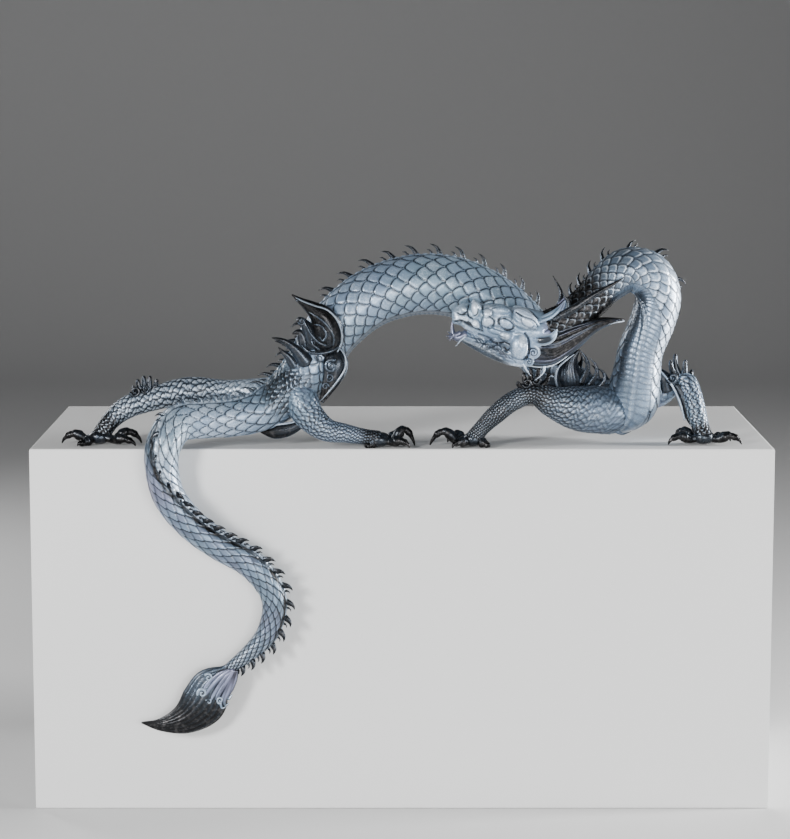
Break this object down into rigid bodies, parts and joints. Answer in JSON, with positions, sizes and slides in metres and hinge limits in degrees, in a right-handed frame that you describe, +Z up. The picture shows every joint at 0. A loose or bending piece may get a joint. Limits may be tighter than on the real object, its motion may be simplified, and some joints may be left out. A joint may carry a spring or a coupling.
{
  "type": "dragon sculpture",
  "caption": "Cast crouching dragon with an arched scaly body, clawed legs, mane and horns, draped on a plain block plinth with its tail hanging over the front edge.",
  "frame": {"origin": "centre of the plinth's underside", "axes": "+Z up, -Y is the front face that the tail hangs down, +X to the right as seen from the front, along the dragon"},
  "size_m": [0.676, 0.3304, 0.5233],
  "materials": {
    "enamelled_casting": "pale blue-grey patina over dark bronze, satin, worn dark in the grooves and on claws, spines, horns and tail tip",
    "painted_board": "matt off-white paint over board, eased edges"
  },
  "bodies": {
    "root": {"dragon": "enamelled_casting", "plinth": "painted_board"}
  },
  "joints": []
}
